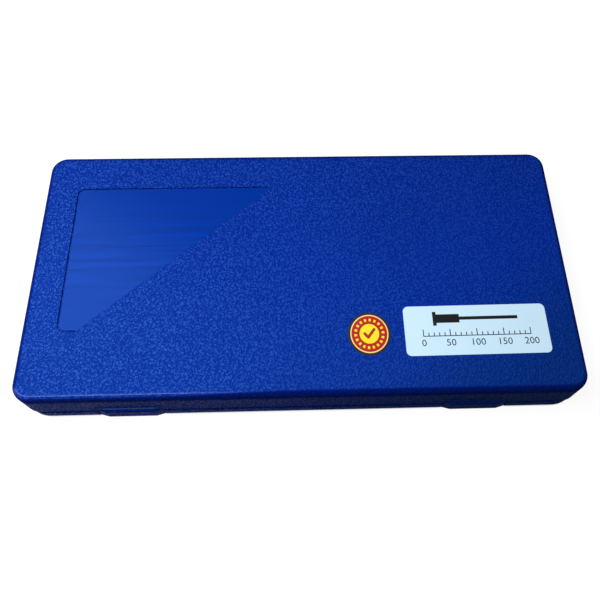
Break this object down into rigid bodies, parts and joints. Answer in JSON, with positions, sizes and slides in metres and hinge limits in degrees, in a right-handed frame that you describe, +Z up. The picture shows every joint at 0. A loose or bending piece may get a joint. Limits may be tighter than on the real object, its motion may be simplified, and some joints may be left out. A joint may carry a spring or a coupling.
{
  "type": "cased vernier depth gauge",
  "caption": "Flat hinged blue plastic case with a grained lid, corner panel groove and front snap latches, holding a vernier depth gauge in a foam well.",
  "frame": {"origin": "middle of the case's flat underside, the face that it rests on", "axes": "+X along the case towards its right end, +Y from the latches to the hinges, +Z up"},
  "size_m": [0.3112, 0.1658, 0.0302],
  "materials": {
    "case_plastic": "moulded with a fine leather grain",
    "pin_steel": "drawn wire",
    "foam": "open-cell foam",
    "label_paper": "coated label paper",
    "sticker_paper": "coated sticker paper",
    "gauge_steel": "satin chrome over ground steel",
    "gib_brass": "rolled strip"
  },
  "bodies": {
    "case_base": {"base_shell": "case_plastic", "hinge_pin_left": "pin_steel", "hinge_pin_right": "pin_steel", "foam_sheet": "foam", "foam_frame": "foam", "main_beam": "gauge_steel", "end_stop": "gauge_steel", "end_stop_screw": "pin_steel"},
    "lid": {"lid_shell": "case_plastic", "lid_foam": "foam", "white_label": "label_paper", "round_sticker": "sticker_paper", "latch_pin_left": "pin_steel", "latch_pin_right": "pin_steel"},
    "left_latch": {"latch_left": "case_plastic"},
    "right_latch": {"latch_right": "case_plastic"},
    "slider": {"measuring_base": "gauge_steel", "base_screws": "pin_steel", "slider_frame": "gauge_steel", "vernier_plate": "gauge_steel", "vernier_screws": "pin_steel", "gib_strip": "gib_brass", "gib_set_screws": "pin_steel"},
    "clamp": {"clamp_screw": "gauge_steel"}
  },
  "joints": [
    {"name": "lid_hinge", "type": "hinge", "parent": "case_base", "child": "lid", "pos_m": [0, 0.0827, 0.00875], "axis": [-1, 0, 0], "range_deg": [0, 105]},
    {"name": "left_latch_flip", "type": "hinge", "parent": "lid", "child": "left_latch", "pos_m": [-0.096, -0.0771, 0.0139], "axis": [-1, 0, 0], "range_deg": [0, 80]},
    {"name": "right_latch_flip", "type": "hinge", "parent": "lid", "child": "right_latch", "pos_m": [0.096, -0.0771, 0.0139], "axis": [-1, 0, 0], "range_deg": [0, 80]},
    {"name": "slider_slide", "type": "slide", "parent": "case_base", "child": "slider", "axis": [1, 0, 0], "range_m": [0, 0.2]},
    {"name": "clamp_turn", "type": "hinge", "parent": "slider", "child": "clamp", "pos_m": [-0.092, 0.0133, 0.0107], "axis": [0, 1, 0], "range_deg": [0, 180]}
  ]
}
